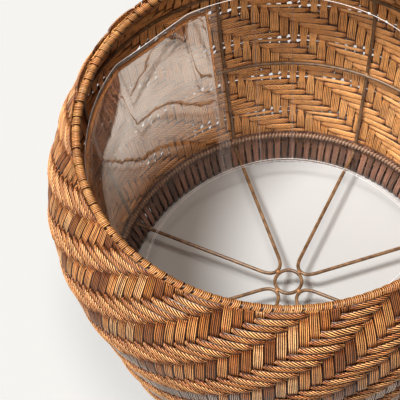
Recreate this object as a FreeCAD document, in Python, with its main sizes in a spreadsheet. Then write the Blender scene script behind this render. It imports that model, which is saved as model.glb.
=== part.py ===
import FreeCAD, Part
import math
import os

# A large woven rattan lamp shade.  It stands on its small end, with its wide
# mouth up.  The origin is the centre of the small end, on the floor, and +Z
# is the axis of the shade.  All sizes are in millimetres and degrees.

doc = FreeCAD.newDocument("lamp_shade")

SIZES = [
    # woven wall: radius of its outside at seven heights, and its thickness
    ("foot_level", 10.0), ("foot_radius", 314.0),
    ("low_level", 64.0), ("low_radius", 325.0),
    ("waist_level", 160.0), ("waist_radius", 348.0),
    ("middle_level", 266.0), ("middle_radius", 371.0),
    ("belly_level", 372.0), ("belly_radius", 385.5),
    ("shoulder_level", 468.0), ("shoulder_radius", 364.5),
    ("mouth_level", 524.0), ("mouth_radius", 333.5),
    ("wall_thick", 12.0),
    # rolled borders at the two ends of the wall
    ("rim_roll_radius", 322.5), ("rim_roll_level", 530.3), ("rim_roll_thick", 15.0),
    ("foot_roll_radius", 297.5), ("foot_roll_level", 9.0), ("foot_roll_thick", 22.0),
    # wire frame
    ("wire_thick", 6.2), ("wire_gap", 0.4),
    ("spoke_level", 45.0), ("rib_bend", 12.0), ("rib_top_level", 500.0),
    ("frame_turn", -2.5), ("hairpin_reach", 32.0), ("hairpin_pull", 17.0), ("hairpin_spread", 9.0),
    ("fitter_radius", 23.7), ("fitter_bore", 21.0),
    ("upper_ring_level", 428.0), ("middle_ring_level", 233.0), ("lower_ring_level", 64.0),
    ("braze_thick", 8.6), ("wrap_thick", 2.6),
    # clear film liner and the tape on its seam
    ("liner_foot_radius", 256.0), ("liner_top_radius", 298.0),
    ("liner_foot_level", 48.6), ("liner_top_level", 483.0), ("liner_thick", 0.8),
    ("tape_arc", 5.0), ("tape_angle", 116.0), ("tape_thick", 0.6),
]

STATIONS = ("foot", "low", "waist", "middle", "belly", "shoulder", "mouth")
QUARTERS = {"back_right": 45.0, "back_left": 135.0, "front_left": 225.0, "front_right": 315.0}
HALF_PAIR = 23.6  # angle from the middle of a hairpin to each of its two spokes

sheet = doc.addObject("Spreadsheet::Sheet", "sizes")
for row, (alias, value) in enumerate(SIZES, start=1):
    sheet.set("A%d" % row, alias)
    sheet.set("B%d" % row, str(value))
    sheet.setAlias("B%d" % row, alias)
doc.recompute()


def size(alias):
    """The number that the sheet holds under a name."""
    return float(sheet.get(alias))


def vector(x, y, z):
    return FreeCAD.Vector(x, y, z)


def bind(item, **expressions):
    """Ties properties of an object to the sheet, whose cells are written as <alias>."""
    for prop, expression in expressions.items():
        expression = expression.replace("<", "sizes.").replace(">", "")
        item.setExpression(prop.replace("__", "."), expression)
    return item


def labelled(kind, name):
    item = doc.addObject(kind, name)
    item.Label = name
    return item


def torus(name, radius, thick, level):
    """A ring of round section about the axis."""
    ring = labelled("Part::Torus", name)
    return bind(ring, Radius1=radius, Radius2="(%s) / 2" % thick, Placement__Base__z=level)


def cone(name, foot_radius, top_radius, angle="360"):
    """A solid cone between the liner's two levels, or a sector of it."""
    body = labelled("Part::Cone", name)
    return bind(
        body,
        Radius1=foot_radius,
        Radius2=top_radius,
        Height="<liner_top_level> - <liner_foot_level>",
        Angle=angle,
        Placement__Base__z="<liner_foot_level>",
    )


def cut(name, base, tool):
    piece = labelled("Part::Cut", name)
    piece.Base = base
    piece.Tool = tool
    return piece


def made(name, shape):
    """An object whose shape is made by Part's own functions from the sheet."""
    piece = labelled("Part::Feature", name)
    piece.Shape = shape
    piece.Placement = FreeCAD.Placement()
    return piece


def turned(point, angle):
    """A point of the XZ plane, turned about the axis."""
    a = math.radians(angle)
    return vector(point.x * math.cos(a), point.x * math.sin(a), point.z)


# ------------------------------------------------------------ wall outline

outline = Part.BSplineCurve()
outline.interpolate([vector(size(s + "_radius"), 0, size(s + "_level")) for s in STATIONS])


def inside_point(level, depth):
    """The point at a depth under the wall's outside, square to it, near a height."""
    low, high = outline.FirstParameter, outline.LastParameter
    for _ in range(60):
        middle = (low + high) / 2
        if outline.value(middle).z < level:
            low = middle
        else:
            high = middle
    tangent = outline.tangent(low)[0]
    return outline.value(low) + vector(-tangent.z, 0, tangent.x) * depth


def wall_section():
    """The wall's section in the XZ plane, between its two outlines."""
    inner = Part.BSplineCurve()
    inner.interpolate([inside_point(size(s + "_level"), size("wall_thick")) for s in STATIONS])
    outer_edge, inner_edge = outline.toShape(), inner.toShape()
    ends = [
        Part.makeLine(outer_edge.Vertexes[i].Point, inner_edge.Vertexes[i].Point) for i in (0, 1)
    ]
    edges = Part.__sortEdges__([outer_edge, inner_edge] + ends)
    return Part.Face(Part.Wire(edges))


# -------------------------------------------------------------- wire frame

WIRE_DEPTH = size("wall_thick") + size("wire_thick") / 2 + size("wire_gap")


def ring_radius(place):
    """The centre-line radius of a ring wire, which lies just inside the ribs."""
    level = size(place + "_ring_level")
    return inside_point(level, WIRE_DEPTH + size("wire_thick")).x


def rib_edges(angle):
    """A rib from the rim hoop down the wall, its bend, and the bend's inner end."""
    spoke, bend = size("spoke_level"), size("rib_bend")
    low, top = spoke + bend, size("rib_top_level")
    count = 6
    levels = [low + (top - low) * i / (count - 1) for i in range(count)]
    line = [inside_point(level, WIRE_DEPTH) for level in levels]
    under_hoop = vector(size("rim_roll_radius"), 0, size("rim_roll_level") - size("wire_thick"))
    curve = Part.BSplineCurve()
    curve.interpolate([turned(p, angle) for p in line + [under_hoop]])
    start = turned(line[0], angle)
    down = curve.tangent(curve.FirstParameter)[0] * -1
    foot = line[0].x - bend
    end = turned(vector(foot, 0, spoke), angle)
    corner = turned(vector(foot + bend * 0.55, 0, spoke), angle)
    elbow = Part.BezierCurve()
    elbow.setPoles([start, start + down * (bend * 0.55), corner, end])
    return curve.toShape(), elbow.toShape(), end


def rib_wire(name, middle_angle):
    """A wire bent into two ribs, two spokes and the hairpin that touches the fitter ring."""
    wire, level = size("wire_thick"), size("spoke_level")
    vertex = turned(vector(size("fitter_radius") + wire, 0, level), middle_angle)
    a = math.radians(middle_angle)
    across = vector(-math.sin(a), math.cos(a), 0)
    edges = []
    for side in (-1, 1):
        angle = middle_angle + side * HALF_PAIR
        rib, elbow, outer_end = rib_edges(angle)
        knee = turned(vector(size("fitter_radius") + size("hairpin_reach"), 0, level), angle)
        inward = (knee - outer_end).normalize()
        hook = Part.BezierCurve()
        hook.setPoles(
            [
                knee,
                knee + inward * size("hairpin_pull"),
                vertex + across * (side * size("hairpin_spread")),
                vertex,
            ]
        )
        edges += [rib, elbow, Part.makeLine(outer_end, knee), hook.toShape()]
    path = Part.Wire(Part.__sortEdges__(edges))
    first = path.OrderedEdges[0]
    begin = path.OrderedVertexes[0].Point
    at_start = (first.valueAt(first.FirstParameter) - begin).Length < 1e-6
    tangent = first.tangentAt(first.FirstParameter if at_start else first.LastParameter)
    section = Part.Wire(Part.makeCircle(wire / 2, begin, tangent))
    return made(name, path.makePipeShell([section], True, False))


def braze(radius, level, angle):
    """A blob of brazing metal where two wires touch."""
    return Part.makeSphere(size("braze_thick") / 2, turned(vector(radius, 0, level), angle))


rib_wires = [
    rib_wire("rib_wire_" + place, angle + size("frame_turn")) for place, angle in QUARTERS.items()
]
rim_hoop = torus("rim_hoop", "<rim_roll_radius>", "<wire_thick>", "<rim_roll_level>")
foot_hoop = torus("foot_hoop", "<foot_roll_radius>", "<wire_thick>", "<foot_roll_level>")
ring_wires = [
    torus(
        place + "_ring_wire", str(ring_radius(place)), "<wire_thick>", "<%s_ring_level>" % place
    )
    for place in ("upper", "middle", "lower")
]

fitter_torus = torus("fitter_torus", "<fitter_radius>", "<wire_thick>", "<spoke_level>")
fitter_core = bind(
    labelled("Part::Cylinder", "fitter_core"),
    Radius="<fitter_bore>",
    Height="2 * <wire_thick>",
    Placement__Base__z="<spoke_level> - <wire_thick>",
)
fitter_ring = cut("fitter_ring", fitter_torus, fitter_core)

fitter_brazes = [
    made(
        "fitter_braze_" + place,
        braze(
            size("fitter_radius") + size("wire_thick") / 2,
            size("spoke_level"),
            angle + size("frame_turn"),
        ),
    )
    for place, angle in QUARTERS.items()
]

rib_angles = [
    angle + side * HALF_PAIR + size("frame_turn") for angle in QUARTERS.values() for side in (-1, 1)
]
ring_brazes = [
    made(
        place + "_ring_brazes",
        Part.makeCompound(
            [
                braze(
                    ring_radius(place) + size("wire_thick") / 2, size(place + "_ring_level"), angle
                )
                for angle in rib_angles
            ]
        ),
    )
    for place in ("upper", "middle", "lower")
]

# ----------------------------------------------------- woven wall and borders

wires_in_rim = labelled("Part::MultiFuse", "wires_in_rim")
wires_in_rim.Shapes = rib_wires + [rim_hoop]
rim_roll = torus("rim_roll", "<rim_roll_radius>", "<rim_roll_thick>", "<rim_roll_level>")
rim_border = cut("rim_border", rim_roll, wires_in_rim)

foot_roll = torus("foot_roll", "<foot_roll_radius>", "<foot_roll_thick>", "<foot_roll_level>")
floor_block = bind(
    labelled("Part::Cylinder", "floor_block"),
    Radius="<foot_roll_radius> + <foot_roll_thick>",
    Height="<foot_roll_thick>",
    Placement__Base__z="-<foot_roll_thick>",
)
flat_foot_roll = cut("flat_foot_roll", foot_roll, floor_block)
foot_border = cut("foot_border", flat_foot_roll, foot_hoop)

wall_turned = labelled("Part::Revolution", "wall_turned")
wall_turned.Source = made("wall_section", wall_section())
wall_turned.Axis = vector(0, 0, 1)
wall_turned.Angle = 360
rolls_and_wires = labelled("Part::MultiFuse", "rolls_and_wires")
rolls_and_wires.Shapes = [rim_roll, foot_roll] + rib_wires
woven_wall = cut("woven_wall", wall_turned, rolls_and_wires)

# the cane wound round the lower ring wire, cut away where the ribs pass
wrap_outside = torus(
    "wrap_outside",
    str(ring_radius("lower")),
    "<wire_thick> + 2 * <wrap_thick>",
    "<lower_ring_level>",
)
wires_in_wrap = labelled("Part::MultiFuse", "wires_in_wrap")
wires_in_wrap.Shapes = rib_wires + [ring_wires[2]]
lower_ring_wrap = cut("lower_ring_wrap", wrap_outside, wires_in_wrap)

# -------------------------------------------------------------- film liner

liner_outside = cone("liner_outside", "<liner_foot_radius>", "<liner_top_radius>")
liner_inside = cone(
    "liner_inside", "<liner_foot_radius> - <liner_thick>", "<liner_top_radius> - <liner_thick>"
)
film_liner = cut("film_liner", liner_outside, liner_inside)
tape_outside = cone(
    "tape_outside",
    "<liner_foot_radius> + <tape_thick>",
    "<liner_top_radius> + <tape_thick>",
    "<tape_arc>",
)
tape_outside.Placement.Rotation = FreeCAD.Rotation(
    vector(0, 0, 1), size("tape_angle") - size("tape_arc") / 2
)
bind(tape_outside, Placement__Base__z="<liner_foot_level>")
liner_seam_tape = cut("liner_seam_tape", tape_outside, liner_outside)

# ------------------------------------------------------------------ output

pieces = (
    [fitter_ring, rim_hoop, foot_hoop, woven_wall, rim_border, foot_border]
    + rib_wires
    + ring_wires
    + fitter_brazes
    + ring_brazes
    + [lower_ring_wrap, film_liner, liner_seam_tape]
)

doc.recompute()
for item in doc.Objects:
    if "Invalid" in item.State or "Error" in item.State:
        raise RuntimeError("%s failed to build" % item.Label)
for piece in pieces:
    if piece.Shape.isNull() or not piece.Shape.isValid() or not piece.Shape.Solids:
        raise RuntimeError("%s has no valid solid" % piece.Label)

os.makedirs("parts", exist_ok=True)
for piece in pieces:
    piece.Shape.exportStep("parts/%s.step" % piece.Label)
    box = piece.Shape.BoundBox
    print(
        "%-24s %2d solids %12.0f mm3  z %7.1f to %6.1f"
        % (piece.Label, len(piece.Shape.Solids), piece.Shape.Volume, box.ZMin, box.ZMax)
    )
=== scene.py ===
import math

import bpy
import numpy as np
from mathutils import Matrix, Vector
from mathutils.bvhtree import BVHTree


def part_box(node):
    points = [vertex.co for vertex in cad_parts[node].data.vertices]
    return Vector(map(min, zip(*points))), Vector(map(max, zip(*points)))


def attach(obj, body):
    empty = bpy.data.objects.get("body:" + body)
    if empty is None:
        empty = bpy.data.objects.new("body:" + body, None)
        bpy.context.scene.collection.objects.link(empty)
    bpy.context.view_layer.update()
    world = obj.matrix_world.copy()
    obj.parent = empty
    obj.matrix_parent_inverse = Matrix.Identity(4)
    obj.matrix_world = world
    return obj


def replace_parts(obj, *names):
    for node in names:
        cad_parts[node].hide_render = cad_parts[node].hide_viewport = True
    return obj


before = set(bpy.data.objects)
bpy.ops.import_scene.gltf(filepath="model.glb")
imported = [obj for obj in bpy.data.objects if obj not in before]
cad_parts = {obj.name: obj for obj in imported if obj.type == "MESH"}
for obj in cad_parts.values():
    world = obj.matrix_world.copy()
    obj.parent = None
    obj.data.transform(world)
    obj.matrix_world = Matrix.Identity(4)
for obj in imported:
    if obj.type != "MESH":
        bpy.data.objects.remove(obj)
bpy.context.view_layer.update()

rng = np.random.default_rng(721)

# ------------------------------------------------------------ the weave's plan
WARPS = 136  # bundles of canes that run up the wall
FLOAT = 4  # a bundle passes over four, then under four
WARP_CANES = 5  # canes side by side in a warp bundle
WEFT_CANES = 6  # canes twisted together in a weft bundle
ROW_PITCH = 0.0120  # from one weft bundle to the next
CANE = 0.0030  # width of one cane
WARP_SWAY, WARP_BOW = 0.0023, 0.0008  # how far out a float stands, and more in its middle
WEFT_SWAY, WEFT_BOW = 0.0026, 0.0016  # the same for the wefts
WEFT_TALL, WEFT_DEEP = 0.0042, 0.0019  # half sizes of the ring that the canes wind on
TWIST = 165.0  # radians of twist per metre of weft
WARP_OFFSET = 0.35  # the first warp's place, in warp steps from azimuth 0
TOP_LEVEL = 0.5315  # where the weave starts, just under the rim's knuckles
END_LEVEL = 0.014  # where it ends, at the foot border
WHITISH_LEVEL = 0.350  # the outside of the warps turns whitish grey below this
WHITISH_UNEVEN, WHITISH_FADE = 0.014, 0.030  # how the level strays, and how far it fades
WHITISH_COVER = 0.82  # how much of a cane's own colour the whitish grey hides
LOOSE_EVERY = 7  # one weft in so many is slack, at the back and left, and lets light through
LOOSE_FIRST = 1  # the first slack row
LOOSE_AT = math.radians(118)  # the weaving is most open at this azimuth
TURN_STEP = 2 * math.pi / WARPS
HEXAGON = math.cos(math.pi / 6)  # a six-sided tube is this much narrower than its circle
DEEPEN = np.array([1.0, 1.4, 1.7])  # in painted shade green and blue fade faster than red
END_SHADE, END_SHADE_INSIDE = 0.84, 0.10  # how dark the painted shade is at the two ends of a float
SHADE_RIBBON_THICK = 0.0010  # thickness of the dark ribbon inside each bundle, painted shade for the gaps between canes
CANE_HIGH = CANE * 0.96
SIDES = 6  # flat faces round a cane


# --------------------------------------------------------- shape from the frame


def radius_finder(node):
    """Finds a CAD node's outer and inner radius at a height, by casting rays."""
    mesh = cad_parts[node].data
    tree = BVHTree.FromPolygons(
        [v.co for v in mesh.vertices], [p.vertices for p in mesh.polygons]
    )

    def radii(z):
        outer = tree.ray_cast(Vector((2.0, 0.001, z)), Vector((-1, 0, 0)))[0]
        inner = tree.ray_cast(Vector((0.0, 0.001, z)), Vector((1, 0, 0)))[0]
        return outer.x, inner.x

    return radii


def ring_of(node):
    """The centre-line radius, level and half thickness of a ring-shaped CAD node."""
    low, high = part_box(node)
    half = (high.z - low.z) / 2
    return high.x - half, (high.z + low.z) / 2, half


SWELL = 0.0055  # the wall swells out under the rim at the back left
SWELL_AT = math.radians(150)
SWELL_ROUND, SWELL_DOWN = 0.40, 0.05  # its reach, in radians round and in metres down
FADE = 0.08  # within this of either end the wall runs true
RIM_RADIUS, RIM_LEVEL, RIM_HALF = ring_of("rim_border")
HOOP_RADIUS, HOOP_LEVEL = ring_of("foot_hoop")[:2]
FOOT_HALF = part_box("foot_border")[1].z - HOOP_LEVEL


def wall_line():
    """Radius and height along the middle of the wall, from the foot to the rim."""
    radii = radius_finder("woven_wall")
    whole_from, whole_to = 0.034, 0.512  # the CAD wall is cut away for the rolls outside these
    half_window = 30
    z = np.linspace(whole_from, whole_to, 40)
    r = np.array([sum(radii(level)) / 2 for level in z])
    # carried on to the two rolls
    low = r[0] - (r[1] - r[0]) / (z[1] - z[0]) * (z[0] - END_LEVEL)
    z = np.concatenate([[END_LEVEL], z, [TOP_LEVEL]])
    r = np.concatenate([[low], r, [RIM_RADIUS + 0.0040]])
    fine = np.linspace(z[0], z[-1], 800)
    window = np.hanning(2 * half_window + 1)
    kernel = window / window.sum()
    rough = np.pad(np.interp(fine, z, r), half_window, mode="reflect", reflect_type="odd")
    return np.convolve(rough, kernel, mode="valid"), fine


LINE_R, LINE_Z = wall_line()
LINE_S = np.concatenate([[0], np.cumsum(np.hypot(np.diff(LINE_R), np.diff(LINE_Z)))])
LENGTH = LINE_S[-1]
LEAN_R = np.gradient(LINE_R, LINE_S)
LEAN_Z = np.gradient(LINE_Z, LINE_S)
ROWS = int(LENGTH / ROW_PITCH)


def uneven(turn, down, seed, size, waves):
    """A smooth wandering value over the wall, the same for all that passes there."""
    local = np.random.default_rng(seed)
    total = 0.0
    for _ in range(7):
        round_count = local.integers(1, waves + 1)
        up_rate, phase = local.uniform(-30, 30), local.uniform(0, 2 * math.pi)
        total = total + local.uniform(0.4, 1.0) * np.sin(round_count * turn + up_rate * down + phase)
    return size * total / 2.2


def on_wall(down, turn, out):
    """Points at a distance down the wall from the rim, an angle, and a distance outwards."""
    s = LENGTH - down
    lean_r, lean_z = np.interp(s, LINE_S, LEAN_R), np.interp(s, LINE_S, LEAN_Z)
    fade = np.clip(down / FADE, 0, 1) * np.clip((LENGTH - down) / FADE, 0, 1)
    out = out + fade * uneven(turn, down, seed=5, size=0.0016, waves=9)
    aside = np.mod(turn - SWELL_AT + math.pi, 2 * math.pi) - math.pi
    out = out + SWELL * np.exp(-((aside / SWELL_ROUND) ** 2)) * np.exp(-((down / SWELL_DOWN) ** 2))
    radius = np.interp(s, LINE_S, LINE_R) + out * lean_z
    height = np.interp(s, LINE_S, LINE_Z) - out * lean_r
    return np.stack([radius * np.cos(turn), radius * np.sin(turn), height], -1)


def wall_normal(down, turn):
    """The way out of the wall at a place."""
    s = LENGTH - down
    lean_r, lean_z = np.interp(s, LINE_S, LEAN_R), np.interp(s, LINE_S, LEAN_Z)
    return np.stack([lean_z * np.cos(turn), lean_z * np.sin(turn), -lean_r], -1)


def wall_radius(down):
    """The wall's middle radius at a distance down from the rim."""
    return np.interp(LENGTH - down, LINE_S, LINE_R)


def swing(phase):
    """From -1 to 1: how far out a bundle is.  It is out while the phase goes from 0 to
    FLOAT and in until twice FLOAT, with a smooth crossing between."""
    phase = np.mod(phase, 2 * FLOAT)
    crossing = 0.45

    def step(t):
        t = np.clip(t / crossing * 0.5 + 0.5, 0, 1)
        return t * t * (3 - 2 * t)

    return 2 * (step(phase) - step(phase - FLOAT) + step(phase - 2 * FLOAT)) - 1


def bulge(phase):
    """From 0 at the two ends of a float to 1 in its middle."""
    return np.sin(np.pi * np.mod(phase, FLOAT) / FLOAT)


def weft_phase(place, row):
    """Where a place along a weft is in its over-and-under; warp i's middle is at i."""
    return place + row + FLOAT + 0.5


def warp_phase(place, warp):
    """Where a place down a warp is in its over-and-under; row j's middle is at j + 0.5."""
    return place + warp


# ------------------------------------------------------------------ mesh making


def tubes(name, paths, ups, wide, thick, colours, closed=False, groove=0.5):
    """One mesh of many canes.  paths and ups are (canes, points, 3): the centre lines, and
    the way each cane's back faces.  colours is (canes, 3) or (canes, points, 3).  groove is
    how much painted shade darkens a cane's two flanks, where it meets its neighbours."""
    n, m, _ = paths.shape
    sides = SIDES
    if closed:
        along = np.roll(paths, -1, 1) - np.roll(paths, 1, 1)
    else:
        along = np.gradient(paths, axis=1)
    along /= np.linalg.norm(along, axis=-1, keepdims=True)
    across = np.cross(ups, along)
    across /= np.linalg.norm(across, axis=-1, keepdims=True)
    up = np.cross(along, across)
    ring = np.arange(sides) * 2 * math.pi / sides + math.pi / sides
    cos, sin = np.cos(ring)[None, None, :, None], np.sin(ring)[None, None, :, None]
    wide = np.broadcast_to(wide, (n, m))[:, :, None, None] / 2
    thick = np.broadcast_to(thick, (n, m))[:, :, None, None] / 2
    points = paths[:, :, None] + across[:, :, None] * wide * cos + up[:, :, None] * thick * sin
    first = (np.arange(n) * m * sides)[:, None, None]
    i = np.arange(m if closed else m - 1)[None, :, None]
    j = np.arange(sides)[None, None, :]
    i2, j2 = (i + 1) % m, (j + 1) % sides
    quads = np.stack(
        [
            first + i * sides + j,
            first + i * sides + j2,
            first + i2 * sides + j2,
            first + i2 * sides + j,
        ],
        -1,
    ).reshape(-1, 4)
    corners, starts, totals = [quads.reshape(-1)], [np.arange(len(quads)) * 4], [4] * len(quads)
    if not closed:
        base = first[:, :, 0]
        caps = np.concatenate(
            [base + np.arange(sides)[None, ::-1], base + (m - 1) * sides + np.arange(sides)[None]]
        )
        corners.append(caps.reshape(-1))
        starts.append(len(quads) * 4 + np.arange(2 * n) * sides)
        totals += [sides] * (2 * n)
    corners = np.concatenate(corners)
    mesh = bpy.data.meshes.new(name)
    mesh.vertices.add(n * m * sides)
    mesh.vertices.foreach_set("co", points.reshape(-1).astype(np.float32))
    mesh.loops.add(len(corners))
    mesh.polygons.add(len(totals))
    mesh.loops.foreach_set("vertex_index", corners.astype(np.int32))
    mesh.polygons.foreach_set("loop_start", np.concatenate(starts).astype(np.int32))
    mesh.polygons.foreach_set("loop_total", np.array(totals, np.int32))
    mesh.update(calc_edges=True)
    mesh.polygons.foreach_set("use_smooth", np.ones(len(totals), bool))
    if colours.ndim == 2:
        colours = np.repeat(colours[:, None], m, axis=1)
    # painted shade on each cane's two flanks, deepest red-brown in the groove
    groove = np.broadcast_to(groove, (n, m))[:, :, None, None]
    flank = np.minimum(1, 1.3 * np.cos(ring) ** 2)[None, None, :, None]
    groove_shade = (1 - groove * flank) ** DEEPEN
    shade = colours[:, :, None] * groove_shade
    shade = np.concatenate([shade, np.ones(shade.shape[:-1] + (1,))], -1)
    layer = mesh.color_attributes.new("cane", "FLOAT_COLOR", "POINT")
    layer.data.foreach_set("color", shade.reshape(-1).astype(np.float32))
    piece = bpy.data.objects.new(name, mesh)
    bpy.context.scene.collection.objects.link(piece)
    return piece


def dress(piece, material, body="shade"):
    """Gives a piece its material and slot, and lets it ride on a body."""
    piece.data.materials.append(material)
    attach(piece, body)
    return piece


# -------------------------------------------------------------------- materials


def new_material(name):
    material = bpy.data.materials.new(name)
    material.use_nodes = True
    tree = material.node_tree
    return material, tree, tree.nodes["Principled BSDF"]


def noise(tree, scale, detail, coordinates):
    node = tree.nodes.new("ShaderNodeTexNoise")
    node.inputs["Scale"].default_value = scale
    node.inputs["Detail"].default_value = detail
    tree.links.new(coordinates, node.inputs["Vector"])
    return node.outputs["Fac"]


def spread(tree, value, low, high, from_low=0.3, from_high=0.7):
    node = tree.nodes.new("ShaderNodeMapRange")
    node.inputs["From Min"].default_value = from_low
    node.inputs["From Max"].default_value = from_high
    node.inputs["To Min"].default_value = low
    node.inputs["To Max"].default_value = high
    tree.links.new(value, node.inputs["Value"])
    return node.outputs["Result"]


def times(tree, a, b):
    node = tree.nodes.new("ShaderNodeMix")
    node.data_type = "RGBA"
    node.blend_type = "MULTIPLY"
    node.inputs["Factor"].default_value = 1.0
    tree.links.new(a, node.inputs["A"])
    tree.links.new(b, node.inputs["B"])
    return node.outputs["Result"]


def bump(tree, shader, height, strength, distance):
    node = tree.nodes.new("ShaderNodeBump")
    node.inputs["Strength"].default_value = strength
    node.inputs["Distance"].default_value = distance
    tree.links.new(height, node.inputs["Height"])
    tree.links.new(node.outputs["Normal"], shader.inputs["Normal"])


def cane_material():
    """Rattan: each cane's colour with its painted groove and crossing shade, with fine fibres, blotches
    and a waxy skin.
    """
    material, tree, shader = new_material("rattan_cane")
    # the cane's tone, with painted shade in its grooves and at the ends of its floats
    own = tree.nodes.new("ShaderNodeAttribute")
    own.attribute_name = "cane"
    where = tree.nodes.new("ShaderNodeTexCoord").outputs["Object"]
    fibres = noise(tree, 420.0, 3.0, where)
    blotch = noise(tree, 45.0, 3.0, where)
    colour = times(tree, own.outputs["Color"], spread(tree, fibres, 0.74, 1.20))
    colour = times(tree, colour, spread(tree, blotch, 0.80, 1.14))
    tree.links.new(colour, shader.inputs["Base Color"])
    tree.links.new(spread(tree, fibres, 0.30, 0.46), shader.inputs["Roughness"])
    shader.inputs["Specular IOR Level"].default_value = 0.5
    bump(tree, shader, fibres, 0.3, 0.0004)
    return material


def wire_material(name, dark, light, roughness):
    """Painted wire: a brown coat, worn a little paler in places."""
    material, tree, shader = new_material(name)
    where = tree.nodes.new("ShaderNodeTexCoord").outputs["Object"]
    wear = noise(tree, 110.0, 5.0, where)
    ramp = tree.nodes.new("ShaderNodeValToRGB")
    ramp.color_ramp.elements[0].position = 0.35
    ramp.color_ramp.elements[0].color = (*dark, 1)
    ramp.color_ramp.elements[1].position = 0.68
    ramp.color_ramp.elements[1].color = (*light, 1)
    tree.links.new(wear, ramp.inputs["Fac"])
    tree.links.new(ramp.outputs["Color"], shader.inputs["Base Color"])
    tree.links.new(spread(tree, wear, roughness - 0.06, roughness + 0.08), shader.inputs["Roughness"])
    shader.inputs["Specular IOR Level"].default_value = 0.6
    bump(tree, shader, wear, 0.25, 0.0004)
    return material


def calculate(tree, operation, first, second):
    """A Math node's result.  first and second are numbers or other nodes' outputs."""
    node = tree.nodes.new("ShaderNodeMath")
    node.operation = operation
    for socket, value in zip(node.inputs, (first, second)):
        if isinstance(value, float):
            socket.default_value = value
        else:
            tree.links.new(value, socket)
    return node.outputs["Value"]


def mix_shaders(tree, share, first, second):
    node = tree.nodes.new("ShaderNodeMixShader")
    tree.links.new(share, node.inputs["Fac"])
    tree.links.new(first, node.inputs[1])
    tree.links.new(second, node.inputs[2])
    return node.outputs["Shader"]


def milkiness(tree, where):
    """How mirror-like the film's left panel is: strong above, and weak near its foot."""
    weak_level, strong_level = 0.17, 0.33
    split = tree.nodes.new("ShaderNodeSeparateXYZ")
    tree.links.new(where, split.inputs["Vector"])
    high = spread(tree, split.outputs["Z"], 0.06, 1.0, weak_level, strong_level)
    return calculate(tree, "MULTIPLY", high, spread(tree, noise(tree, 14.0, 3.0, where), 0.50, 0.74))


def film_gloss(tree, where, roughness):
    """The film's skin: a slightly wrinkled, warm-tinted mirror."""
    gloss = tree.nodes.new("ShaderNodeBsdfGlossy")
    gloss.inputs["Roughness"].default_value = roughness
    gloss.inputs["Color"].default_value = (1.0, 0.90, 0.82, 1)
    wrinkle = tree.nodes.new("ShaderNodeBump")
    wrinkle.inputs["Strength"].default_value = 0.10
    wrinkle.inputs["Distance"].default_value = 0.003
    tree.links.new(noise(tree, 22.0, 2.0, where), wrinkle.inputs["Height"])
    tree.links.new(wrinkle.outputs["Normal"], gloss.inputs["Normal"])
    return gloss.outputs["BSDF"]


def film_material(name, haze_low, haze_high, shine, roughness, milky=False):
    """Clear film: what is behind shows through a glossy skin with a faint haze.  Only the
    front-facing side of the closed sheet reflects.  Shadow and diffuse rays pass the film
    as if it were clear, so that it doesn't darken the canes."""
    material, tree, haze = new_material(name)
    where = tree.nodes.new("ShaderNodeTexCoord").outputs["Object"]
    haze.inputs["Base Color"].default_value = (0.86, 0.82, 0.82, 1)
    haze.inputs["Roughness"].default_value = 0.5
    clear = tree.nodes.new("ShaderNodeBsdfTransparent")
    clear.inputs["Color"].default_value = (0.985, 0.98, 0.98, 1)
    back = tree.nodes.new("ShaderNodeNewGeometry").outputs["Backfacing"]
    facing = calculate(tree, "SUBTRACT", 1.0, back)
    if milky:
        strength = milkiness(tree, where)
    else:
        fresnel = tree.nodes.new("ShaderNodeFresnel")
        fresnel.inputs["IOR"].default_value = 1.5
        strength = calculate(tree, "MULTIPLY", fresnel.outputs["Fac"], shine)
    reflecting = calculate(tree, "MULTIPLY", strength, facing)
    haziness = spread(tree, noise(tree, 9.0, 3.0, where), haze_low, haze_high)
    hazy = mix_shaders(tree, haziness, clear.outputs["BSDF"], haze.outputs["BSDF"])
    shiny = mix_shaders(tree, reflecting, hazy, film_gloss(tree, where, roughness))
    path = tree.nodes.new("ShaderNodeLightPath")
    passing = calculate(tree, "MAXIMUM", path.outputs["Is Shadow Ray"], path.outputs["Is Diffuse Ray"])
    final = mix_shaders(tree, passing, shiny, clear.outputs["BSDF"])
    tree.links.new(final, tree.nodes["Material Output"].inputs["Surface"])
    return material


RATTAN = cane_material()
WIRE = wire_material("bronzed_wire", (0.110, 0.058, 0.026), (0.26, 0.150, 0.072), 0.36)
BRAZE = wire_material("braze_metal", (0.26, 0.11, 0.04), (0.50, 0.26, 0.12), 0.34)

# colours of canes
HONEY = np.array([0.70, 0.335, 0.116])
STRAW = np.array([0.95, 0.540, 0.215])  # the inside of the wall
PALE = np.array([0.84, 0.490, 0.230])
TAWNY = np.array([0.52, 0.205, 0.054])
BROWN = np.array([0.32, 0.120, 0.036])
PINKISH = np.array([0.55, 0.250, 0.095])
# the whitish grey of the lower warps' outside
WHITISH_TONE = np.array([0.68, 0.57, 0.49])
DUSKY = np.array([0.33, 0.185, 0.130])
SHADE_RIBBON_TONE = np.array([0.060, 0.020, 0.007])  # colour of the ribbons inside the bundles: painted shade that shows in the gaps


def cane_tones(tones, canes):
    """A colour for each cane of each bundle: the bundle's tone with the cane's own shift."""
    tones = np.repeat(np.asarray(tones), canes, axis=0)
    tones = tones * rng.normal(1.0, 0.13, (len(tones), 1)) * rng.normal(1.0, 0.03, tones.shape)
    return np.clip(tones, 0.02, 0.95)


def warp_tones():
    """The warps' tones: mostly four light ones, then two dark ones."""
    tones = []
    for warp in range(WARPS):
        dark = (warp - WARPS) % 6 < 2
        likely = [0.0, 0.08, 0.32, 0.60] if dark else [0.62, 0.22, 0.16, 0.0]
        tones.append([HONEY, PALE, TAWNY, BROWN][rng.choice(4, p=likely)])
    return np.array(tones)


WARP_TONES = warp_tones()


# ------------------------------------------------------------------ the weave


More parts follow.
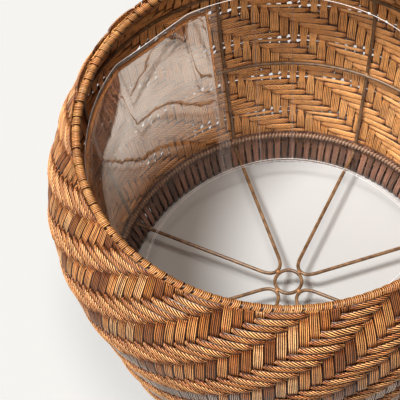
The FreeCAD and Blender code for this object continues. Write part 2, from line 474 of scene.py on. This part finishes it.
def seen_from(side):
    """How much painted shade darkens the grooves between canes, and how far the bundle is inside the
    wall: from 0 where side is 0 or more to 1 where side is -1.  Inside, the painted groove shade is
    faint."""
    inside = np.clip(-side, 0, 1)
    return 0.97 - 0.67 * inside, inside


def end_shadow(side, phase):
    """The factor on a cane's colour: painted shade darkens each float to its two ends, where it passes
    under the crossing bundle, and most outside.
    """
    deep = np.where(side > 0, END_SHADE, END_SHADE_INSIDE)
    return (1 - deep * (1 - np.minimum(1.0, 1.6 * bulge(phase))))[:, None] ** DEEPEN


def tone_inside(own, inside):
    """A cane's colour: lighter than its own tone outside, and near one straw tone inside."""
    blend = 0.75 * inside[:, None]
    return own * 1.37 * (1 - blend) + STRAW * blend


def loose_row(place):
    """From 0 to 1: how near a place down the wall is to one of the slack rows."""
    away = np.mod(place - (LOOSE_FIRST + 0.5) + LOOSE_EVERY / 2, LOOSE_EVERY) - LOOSE_EVERY / 2
    return np.exp(-((away / 0.9) ** 2))


def looseness(turn):
    """From 0 to 1: how open the weaving is.  It is open round the back and left, and closed
    at the front and right."""
    return np.clip(-0.1 + 1.3 * np.cos(turn - LOOSE_AT), 0, 1)


def warp_sector(first, last):
    """The warp bundles from first to last, from the rim down to the foot border."""
    places = np.linspace(0, ROWS, ROWS * 3 + 1)
    down = places * ROW_PITCH
    paths, ups, wides, thicks, colours, grooves = [], [], [], [], [], []
    tones = cane_tones(WARP_TONES[first:last], WARP_CANES)
    for warp in range(first, last):
        phase = warp_phase(places, warp)
        side = swing(phase)
        out = side * (WARP_SWAY + WARP_BOW * bulge(phase))
        pitch = TURN_STEP * wall_radius(down)
        wide = np.minimum(CANE, 0.93 * pitch / WARP_CANES)
        slack = loose_row(places) * looseness((warp + WARP_OFFSET) * TURN_STEP)
        gather = (0.90 + 0.10 * bulge(phase)) * (1 - 0.36 * slack) * np.where(side > 0, 1, 1.05)
        middle = (warp + WARP_OFFSET) * TURN_STEP
        middle = middle + uneven(middle, down, seed=11, size=0.0009, waves=40) / wall_radius(down)
        groove, inside = seen_from(side)
        shadow = end_shadow(side, phase)
        begins = WHITISH_LEVEL + rng.normal(0, WHITISH_UNEVEN)
        height = np.interp(LENGTH - down, LINE_S, LINE_Z)
        whitening = np.clip((begins - height) / WHITISH_FADE, 0, 1) * np.clip(side * 2, 0, 1)
        whitening = WHITISH_COVER * whitening[:, None]
        for cane in range(WARP_CANES):
            offset = (cane - (WARP_CANES - 1) / 2) * wide * gather
            offset = offset + 0.00022 * np.sin(down * rng.uniform(30, 70) + rng.uniform(0, 6))
            turn = middle + offset / wall_radius(down)
            paths.append(on_wall(down, turn, out + rng.normal(0, 0.00018)))
            ups.append(wall_normal(down, turn))
            wides.append(wide * np.where(side > 0, 0.84, 0.97))
            own = tone_inside(tones[(warp - first) * WARP_CANES + cane], inside) * shadow
            grooves.append(groove)
            white = WHITISH_TONE * rng.normal(1.0, 0.10)
            colours.append(own * (1 - whitening) + white * whitening)
            thicks.append(CANE_HIGH + 0 * wide)
        # a dark ribbon of painted shade inside the bundle closes it, but for the corners of the
        # crossings
        open_by = 0.52 * slack - 0.03
        paths.append(on_wall(down, middle, out))
        ups.append(wall_normal(down, middle))
        wides.append(pitch * (1 - open_by) / HEXAGON)
        thicks.append(SHADE_RIBBON_THICK + 0 * wide)
        colours.append(SHADE_RIBBON_TONE + 0 * own)
        grooves.append(0 * wide)
    return tubes(
        "warp_canes_%03d" % first,
        np.array(paths),
        np.array(ups),
        np.array(wides),
        np.array(thicks),
        np.array(colours),
        groove=np.array(grooves),
    )


def weft_rows(first, last):
    """The weft bundles of the rows from first to last: canes twisted like a loose rope."""
    per_warp = 4
    samples = WARPS * per_warp
    places = np.arange(samples) / per_warp
    turn = (places + WARP_OFFSET) * TURN_STEP
    paths, ups, tones, shadows, wides, thicks = [], [], [], [], [], []
    shade_ribbons, shade_ribbon_ups, shade_ribbon_wides, grooves, insides = [], [], [], [], []
    for row in range(first, last):
        phase = weft_phase(places, row)
        side = swing(phase)
        level = (row + 0.5) * ROW_PITCH
        middle = level + uneven(turn, row * 0.01, seed=23, size=0.0007, waves=30)
        bright = row % 2 == 1  # light full bundles take turns with dark slender ones
        out = side * (WEFT_SWAY + WEFT_BOW * bulge(phase)) + (0.0004 if bright else -0.0003) * side
        groove, inside = seen_from(side)
        taper = 0.40 - 0.25 * inside
        full = (1.02 if bright else 0.84) * (1 - taper * (1 - np.minimum(1.0, 1.4 * bulge(phase))))
        full = full * (1 + (0.08 if bright else 0.30) * inside)
        slack = looseness(turn) * (row % LOOSE_EVERY == LOOSE_FIRST)
        full = full * (1 - 0.62 * slack)
        turns = round(TWIST * float(wall_radius(level)))  # whole turns, so that the ends meet
        shadow = end_shadow(side, phase)
        insides += [inside] * WEFT_CANES
        shadows += [shadow] * WEFT_CANES
        grooves += [groove] * WEFT_CANES
        wander = uneven(turn, row * 0.3, seed=31, size=0.5, waves=12)
        for cane in range(WEFT_CANES):
            wind = turn * turns + 2 * math.pi * cane / WEFT_CANES + wander + row * 1.7
            tall = WEFT_TALL * full * np.cos(wind)
            flat = WEFT_DEEP * (1 - 0.45 * inside)
            path = on_wall(middle - tall, turn, out + flat * np.sin(wind))
            # square to the ellipse that the canes wind on
            lift = on_wall(middle - WEFT_DEEP * np.cos(wind), turn, out + WEFT_TALL * np.sin(wind))
            ups.append(lift - on_wall(middle, turn, out))
            paths.append(path)
            wides.append(CANE * 0.98 + 0 * turn)
            thicks.append(CANE_HIGH + 0 * turn)
        tones.append(HONEY * 0.55 + PALE * 0.45 if bright else PINKISH * 0.7 + TAWNY * 0.3)
        # a dark ribbon of painted shade inside the bundle, narrower where the row is slack
        shade_ribbons.append(on_wall(middle, turn, out))
        shade_ribbon_ups.append(wall_normal(middle, turn))
        shade_ribbon_wides.append(ROW_PITCH * (0.97 - 0.72 * slack) / HEXAGON)
    colours = [tone_inside(tone, inside) for tone, inside in zip(cane_tones(tones, WEFT_CANES), insides)]
    colours = np.array(colours) * np.array(shadows)
    colours = np.concatenate([colours, np.zeros((len(shade_ribbons), samples, 3)) + SHADE_RIBBON_TONE])
    return tubes(
        "weft_canes_%02d" % first,
        np.array(paths + shade_ribbons),
        np.array(ups + shade_ribbon_ups),
        np.array(wides + shade_ribbon_wides),
        np.array(thicks + [SHADE_RIBBON_THICK + 0 * turn] * len(shade_ribbons)),
        colours,
        closed=True,
        groove=np.array(grooves + [0 * turn] * len(shade_ribbons)),
    )


def section(corners, samples):
    """A smooth (Catmull-Rom) path through corners of the (radius, height) plane, evenly
    sampled."""
    corners = np.array(corners)
    t = np.linspace(0, 1, 40)
    points = []
    padded = np.concatenate([[2 * corners[0] - corners[1]], corners, [2 * corners[-1] - corners[-2]]])
    for a, b, c, d in zip(padded, padded[1:], padded[2:], padded[3:]):
        u = t[:, None]
        square, cube = 2 * a - 5 * b + 4 * c - d, 3 * b - a - 3 * c + d
        points.append(0.5 * (2 * b + (c - a) * u + square * u**2 + cube * u**3))
    points = np.concatenate(points)
    s = np.concatenate([[0], np.cumsum(np.linalg.norm(np.diff(points, axis=0), axis=1))])
    even = np.linspace(0, s[-1], samples)
    return np.stack([np.interp(even, s, points[:, k]) for k in (0, 1)], -1)


def folded_ends(name, corners, centre, samples, arch, pinch, tones, wide_most, start=None):
    """The warps' ends folded round a hoop: each bundle follows the section's path, and
    swings sideways on the way.  arch is the sideways swing in warp steps.  start gives how
    far out each bundle begins.  A dark ribbon of painted shade lies under each bundle."""
    under_by, ribbon = 0.0011, 0.0006
    plain = section(corners, samples)
    t = np.linspace(0, 1, samples)
    paths, ups, wides, thicks = [], [], [], []
    for warp in range(WARPS):
        middle = (warp + WARP_OFFSET) * TURN_STEP
        line = plain.copy()
        if start is not None:
            line[:, 0] += start(warp) * np.clip(1 - t * 4, 0, 1) ** 2
        swell = 1 + rng.normal(0, 0.06)
        lean = arch * (1 + 0.3 * math.sin(3 * middle + 1.0) + rng.normal(0, 0.12))
        sideways = lean * TURN_STEP * np.sin(math.pi * np.clip(t * 1.15, 0, 1)) ** 1.2
        for cane in range(WARP_CANES):
            place = cane - (WARP_CANES - 1) / 2
            away = line - centre
            reach = np.linalg.norm(away, axis=1)[:, None]
            lift = 0.0003 * swell * (2.0 - place**2 * 0.5) + 0.0002 * place
            spot = line + away / reach * lift * np.sin(math.pi * t)[:, None]
            wide = np.minimum(wide_most, 0.99 * TURN_STEP * spot[:, 0] / WARP_CANES)
            turn = middle + sideways + place * wide * (1 - pinch * np.sin(math.pi * t)) / spot[:, 0]
            cos, sin = np.cos(turn), np.sin(turn)
            paths.append(np.stack([spot[:, 0] * cos, spot[:, 0] * sin, spot[:, 1]], -1))
            away = away / reach
            ups.append(np.stack([away[:, 0] * cos, away[:, 0] * sin, away[:, 1]], -1))
            wides.append(wide * 0.95)
            thicks.append(CANE * 0.9 + 0 * wide)
            # a dark ribbon of painted shade goes under the bundle's middle cane
            if cane == WARP_CANES // 2:
                under = paths[-1] - ups[-1] * under_by
                shade_ribbon = [under, ups[-1], wide * (WARP_CANES - 0.3), ribbon + 0 * wide]
        for items, item in zip((paths, ups, wides, thicks), shade_ribbon):
            items.append(item)
    tones = tones.reshape(WARPS, WARP_CANES, 3)
    tones = np.concatenate([tones, np.zeros((WARPS, 1, 3)) + SHADE_RIBBON_TONE], 1).reshape(-1, 3)
    return tubes(
        name, np.array(paths), np.array(ups), np.array(wides), np.array(thicks), tones, groove=0.85
    )


def rim_ends():
    """The knuckles over the rim hoop."""
    r, z, half = RIM_RADIUS, RIM_LEVEL, RIM_HALF - CANE / 2 - 0.0010
    corners = [
        (LINE_R[-1] + 0.0015, z - 0.0060),
        (r + half + 0.0004, z + 0.0010),
        (r + half * 0.80, z + half * 0.62),
        (r, z + half),
        (r - half * 0.80, z + half * 0.60),
        (r - half, z - 0.0020),
        (r - half * 0.65, z - 0.0110),
    ]
    tones = cane_tones(WARP_TONES * 0.35 + PALE * 0.25 + HONEY * 0.40, WARP_CANES)

    def start(warp):
        phase = warp_phase(0.0, warp)
        return float(swing(phase) * (WARP_SWAY + WARP_BOW * bulge(phase)))

    return folded_ends("rim_canes", corners, np.array([r, z]), 15, 0.5, 0.02, tones, CANE, start)


def foot_ends():
    """The ends round the foot hoop, carried up inside as a lining to the lower ring."""
    r, z = HOOP_RADIUS, HOOP_LEVEL
    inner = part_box("lower_ring_wire")[1].x
    corners = [
        (LINE_R[0] + 0.0040, 0.024),
        (r + 0.0140, 0.0080),
        (r + 0.0060, 0.0020),
        (r - 0.0040, 0.0018),
        (r - FOOT_HALF + 0.0016, z - 0.0020),
        (r - 0.0080, 0.0200),
        (inner + 0.0010, 0.0560),
        (inner + 0.0032, 0.0680),
    ]
    tones = cane_tones(np.tile(DUSKY, (WARPS, 1)) * rng.uniform(0.6, 1.5, (WARPS, 1)), WARP_CANES)
    return folded_ends("foot_canes", corners, np.array([r, z]), 22, 0.15, 0.30, tones, CANE * 0.9)


def ring_wrap():
    """The cane wound round the lower ring wire."""
    ring, level, wire = ring_of("lower_ring_wire")
    turns, per_turn = 300, 10
    t = np.arange(turns * per_turn) / (turns * per_turn)
    turn, wind = t * 2 * math.pi, t * turns * 2 * math.pi
    roll = wire + 0.0009
    r, z = ring + roll * np.cos(wind), level + roll * np.sin(wind)
    path = np.stack([r * np.cos(turn), r * np.sin(turn), z], -1)
    up = np.stack([np.cos(wind) * np.cos(turn), np.cos(wind) * np.sin(turn), np.sin(wind)], -1)
    tone = np.array([[0.40, 0.27, 0.19]])
    return tubes("wrap_cane", path[None], up[None], 0.0050, 0.0017, tone, closed=True)


def weave():
    """All the canes of the wall, the rim, the foot and the lower ring."""
    warps_per_piece, rows_per_piece = 17, 5
    pieces = []
    for first in range(0, WARPS, warps_per_piece):
        pieces.append(dress(warp_sector(first, first + warps_per_piece), RATTAN))
    for first in range(0, ROWS, rows_per_piece):
        pieces.append(dress(weft_rows(first, min(first + rows_per_piece, ROWS)), RATTAN))
    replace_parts(pieces[0], "woven_wall")
    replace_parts(dress(rim_ends(), RATTAN), "rim_border")
    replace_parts(dress(foot_ends(), RATTAN), "foot_border")
    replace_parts(dress(ring_wrap(), RATTAN), "lower_ring_wrap")


weave()

# ---------------------------------------------------------------- wire frame


def finish_node(name, material):
    """Gives a CAD node that stays in view its material."""
    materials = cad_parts[name].data.materials
    materials.clear()
    materials.append(material)


def wire_frame():
    """The CAD wires, rings and brazes stay, with painted-metal materials."""
    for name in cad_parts:
        if "braze" in name:
            finish_node(name, BRAZE)
        elif name.startswith(("rib_wire", "fitter_ring")) or name.endswith(("ring_wire", "hoop")):
            finish_node(name, WIRE)


wire_frame()

# ---------------------------------------------------------------- film liner


FILM_LOW, FILM_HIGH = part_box("film_liner")
FILM_FOOT = radius_finder("film_liner")(FILM_LOW.z + 0.001)[0]
FILM_SLACK = 0.009  # the sheet's top leans in by this from the CAD cone, all round
FILM_SHIFT = 0.014  # and is pushed over by this
FILM_TOWARDS = math.radians(165)
FACET = 0.296  # at the back left the sheet's top runs straight, this far from the axis
FACET_AT = math.radians(132)
FILM_REACH = 0.3135  # no point of the top stands further out, so the sheet clears the rim roll
FACET_FROM, FACET_TO = math.radians(122), math.radians(285)  # where the top follows the facet
FILM_THICK = 0.0008
TAPE_MIDDLE = math.radians(116.0)
TAPE_WIDE = math.radians(5.0)
PANEL = math.radians(125)  # the hazier panel goes from the seam round the left
FILM_ROWS = 24


def film_radius(turn, t):
    """The sheet's outer radius at an angle, from t = 0 at its foot to 1 at its top."""
    turn = np.mod(turn, 2 * math.pi)
    top = FILM_HIGH.x - FILM_SLACK + FILM_SHIFT * np.cos(turn - FILM_TOWARDS)
    straight = np.minimum(FACET / np.maximum(0.5, np.cos(turn - FACET_AT)), FILM_REACH)
    share = np.clip((turn - FACET_FROM) / 0.06, 0, 1) * np.clip((FACET_TO + 0.5 - turn) / 0.5, 0, 1)
    top = top + (straight - top) * share
    waves = 0.0008 * np.sin(5 * turn + 4 * t) + 0.0004 * np.sin(11 * turn - 6 * t + 2)
    return FILM_FOOT + (top - FILM_FOOT) * t + waves


def film_sheet(name, start, sweep, out, thick, columns, rows):
    """A closed thin shell on the film's shape, from an angle round a sweep of under a turn."""
    turn = start + sweep * np.arange(columns) / (columns - 1)
    t = np.linspace(0, 1, rows)
    turn, t = np.meshgrid(turn, t, indexing="ij")
    level = FILM_LOW.z + (FILM_HIGH.z - FILM_LOW.z) * t
    radius = film_radius(turn, t) + out
    layers = []
    for depth in (0, thick):
        r = radius - depth
        layers.append(np.stack([r * np.cos(turn), r * np.sin(turn), level], -1).reshape(-1, 3))
    points = np.concatenate(layers)
    grid = np.arange(columns * rows).reshape(columns, rows)
    far = grid + columns * rows
    a, nxt = grid[:-1], grid[1:]
    fa, far_nxt = far[:-1], far[1:]
    faces = [
        np.stack([a[:, :-1], nxt[:, :-1], nxt[:, 1:], a[:, 1:]], -1),
        np.stack([fa[:, :-1], fa[:, 1:], far_nxt[:, 1:], far_nxt[:, :-1]], -1),
        np.stack([a[:, 0], fa[:, 0], far_nxt[:, 0], nxt[:, 0]], -1),
        np.stack([a[:, -1], nxt[:, -1], far_nxt[:, -1], fa[:, -1]], -1),
        np.stack([grid[0, :-1], grid[0, 1:], far[0, 1:], far[0, :-1]], -1),
        np.stack([grid[-1, :-1], far[-1, :-1], far[-1, 1:], grid[-1, 1:]], -1),
    ]
    faces = np.concatenate([f.reshape(-1, 4) for f in faces])
    mesh = bpy.data.meshes.new(name)
    mesh.from_pydata(points.tolist(), [], faces.tolist())
    mesh.polygons.foreach_set("use_smooth", [True] * len(mesh.polygons))
    mesh.update()
    piece = bpy.data.objects.new(name, mesh)
    bpy.context.scene.collection.objects.link(piece)
    return piece


def edge_highlight_material():
    """The cut edge of the film: a painted highlight, white for the light that the clear edge catches."""
    material, tree, shader = new_material("film_edge")
    where = tree.nodes.new("ShaderNodeTexCoord").outputs["Object"]
    tone = noise(tree, 60.0, 2.0, where)
    ramp = tree.nodes.new("ShaderNodeValToRGB")
    ramp.color_ramp.elements[0].color = (0.70, 0.68, 0.68, 1)
    ramp.color_ramp.elements[1].color = (0.98, 0.97, 0.97, 1)
    tree.links.new(tone, ramp.inputs["Fac"])
    tree.links.new(ramp.outputs["Color"], shader.inputs["Base Color"])
    shader.inputs["Roughness"].default_value = 0.15
    return material


def film_edge(name, t):
    """A thin bead round the film, painted white as a highlight, at its foot where t is 0 and its top
    where t is 1.
    """
    bead = 0.0009
    level = FILM_LOW.z + (FILM_HIGH.z - FILM_LOW.z) * t
    turn = np.arange(360) / 360 * 2 * math.pi
    radius = film_radius(turn, t) - FILM_THICK / 2
    path = np.stack([radius * np.cos(turn), radius * np.sin(turn), level + 0 * turn], -1)
    up = np.stack([np.cos(turn), np.sin(turn), 0 * turn], -1)
    return tubes(name, path[None], up[None], bead, bead, np.ones((1, 3)), closed=True, groove=0)


FILM = film_material("clear_film", 0.0, 0.01, 0.35, 0.05)
HAZY = film_material("hazy_film", 0.0, 0.02, 0.0, 0.04, milky=True)
TAPE = film_material("clear_tape", 0.04, 0.10, 0.8, 0.08)
CREASE = film_material("film_crease", 0.03, 0.10, 1.0, 0.10)
EDGE_HIGHLIGHT = edge_highlight_material()


def liner_sheets():
    """The clear sheet and its hazier panel, which together go once round."""
    rest = 2 * math.pi - PANEL
    film = film_sheet("film", TAPE_MIDDLE + PANEL, rest, 0.0, FILM_THICK, 160, FILM_ROWS)
    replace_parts(dress(film, FILM, "liner"), "film_liner")
    panel = film_sheet("film_panel", TAPE_MIDDLE, PANEL, 0.0, FILM_THICK, 90, FILM_ROWS)
    dress(panel, HAZY, "liner")


def liner_tape():
    """The tape over the film's lap, proud of the film."""
    start, proud, thick = TAPE_MIDDLE - TAPE_WIDE / 2, 0.0007, 0.0005
    tape = film_sheet("seam_tape", start, TAPE_WIDE, proud, thick, 8, FILM_ROWS)
    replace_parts(dress(tape, TAPE, "liner"), "liner_seam_tape")


def liner_creases():
    """Two faint upright creases at the back."""
    wide, proud, thick = 0.010, 0.0006, 0.0004
    for number, place in enumerate((101, 88)):
        name = "film_crease_%d" % number
        crease = film_sheet(name, math.radians(place), wide, proud, thick, 3, FILM_ROWS)
        dress(crease, CREASE, "liner")


def liner_edges():
    """Painted highlights round the foot, a hem line just above it, and the top."""
    for label, end in (("foot", 0), ("hem", 0.014), ("top", 1)):
        dress(film_edge("film_edge_" + label, end), EDGE_HIGHLIGHT, "liner")


liner_sheets()
liner_tape()
liner_creases()
liner_edges()

# --------------------------------------------------------- floor, light, camera


def floor():
    """A plain pale floor."""
    bpy.ops.mesh.primitive_plane_add(size=30, location=(0, 0, -0.0004))
    plane = bpy.context.object
    plane.name = "floor"
    material, tree, shader = new_material("pale_floor")
    shader.inputs["Base Color"].default_value = (0.430, 0.435, 0.435, 1)
    shader.inputs["Roughness"].default_value = 0.9
    plane.data.materials.append(material)


def soft_sun(name, place, strength, spread_degrees, colour):
    """A broad, even light that shines from a place towards the object."""
    data = bpy.data.lights.new(name, "SUN")
    data.energy = strength
    data.angle = math.radians(spread_degrees)
    data.color = colour
    lamp = bpy.data.objects.new(name, data)
    bpy.context.scene.collection.objects.link(lamp)
    lamp.location = place
    lamp.rotation_euler = (-Vector(place)).to_track_quat("-Z", "Y").to_euler()


def studio_world():
    """A dim sky lights the shadows, and the camera sees a pale backdrop in its place."""
    world = bpy.data.worlds.new("studio")
    bpy.context.scene.world = world
    world.use_nodes = True
    tree = world.node_tree
    sky = tree.nodes["Background"]
    sky.inputs["Color"].default_value = (1.0, 0.99, 0.98, 1)
    sky.inputs["Strength"].default_value = 0.10
    backdrop = tree.nodes.new("ShaderNodeBackground")
    backdrop.inputs["Color"].default_value = (1.0, 0.995, 0.985, 1)
    backdrop.inputs["Strength"].default_value = 0.86
    mix = tree.nodes.new("ShaderNodeMixShader")
    tree.links.new(tree.nodes.new("ShaderNodeLightPath").outputs["Is Camera Ray"], mix.inputs["Fac"])
    tree.links.new(sky.outputs["Background"], mix.inputs[1])
    tree.links.new(backdrop.outputs["Background"], mix.inputs[2])
    tree.links.new(mix.outputs["Shader"], tree.nodes["World Output"].inputs["Surface"])


def studio():
    """Three soft suns, a dim sky and the picture's contrast."""
    studio_world()
    soft_sun("key", (-1.15, -0.30, 3.15), 3.55, 14, (1.0, 0.995, 0.98))
    soft_sun("top", (0.1, -0.3, 4.2), 1.05, 17, (1.0, 0.92, 0.84))
    soft_sun("fill", (-0.9, -3.5, 3.5), 1.20, 24, (1.0, 0.98, 0.95))
    bpy.context.scene.view_settings.view_transform = "Standard"
    bpy.context.scene.view_settings.look = "Medium High Contrast"


def camera():
    """The photograph's view: a long lens, well above the rim, shifted to its framing."""
    rim_top = 0.532
    distance = 2.5204  # from the middle of the rim
    elevation = 0.9565
    pitch = elevation + 0.0603
    data = bpy.data.cameras.new("camera")
    data.sensor_width = 36.0
    data.lens = 148.5
    data.shift_x, data.shift_y = -0.227175, 0.05725  # in widths of the frame
    data.clip_end = 100
    item = bpy.data.objects.new("camera", data)
    bpy.context.scene.collection.objects.link(item)
    item.location = (0, -distance * math.cos(elevation), rim_top + distance * math.sin(elevation))
    item.rotation_euler = (math.pi / 2 - pitch, 0, -0.0031)
    bpy.context.scene.camera = item


floor()
studio()
camera()
